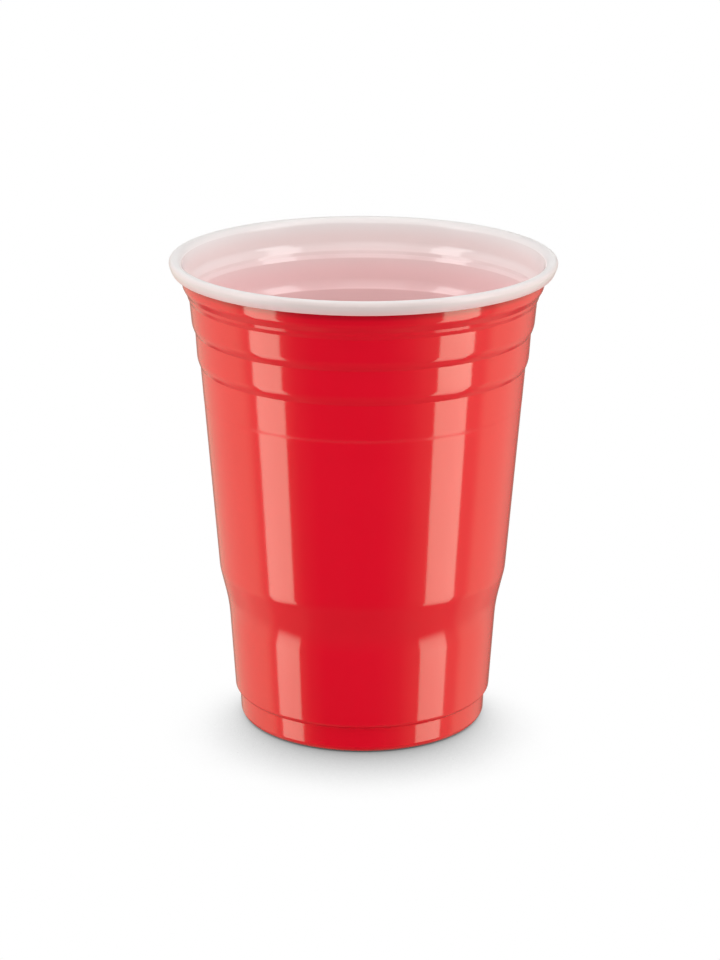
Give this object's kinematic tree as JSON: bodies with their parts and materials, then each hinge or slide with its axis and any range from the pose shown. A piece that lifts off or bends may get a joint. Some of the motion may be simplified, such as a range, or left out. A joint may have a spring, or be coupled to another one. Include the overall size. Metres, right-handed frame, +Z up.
{
  "type": "plastic party cup",
  "caption": "Tapered disposable drinking cup formed from one thin plastic sheet, red outside and white inside, with a rolled rim, stacking bands, a stepped-in grip and a recessed base.",
  "frame": {"origin": "centre of the foot, on the table", "axes": "+Z up along the cup's axis, towards the mouth; the cup is round, so X and Y are free"},
  "size_m": [0.095, 0.095, 0.118],
  "materials": {
    "cup_plastic": "glossy red outer layer, with a glossy pinkish white inner layer that turns out over the rolled rim"
  },
  "bodies": {
    "root": {"cup": "cup_plastic"}
  },
  "joints": []
}
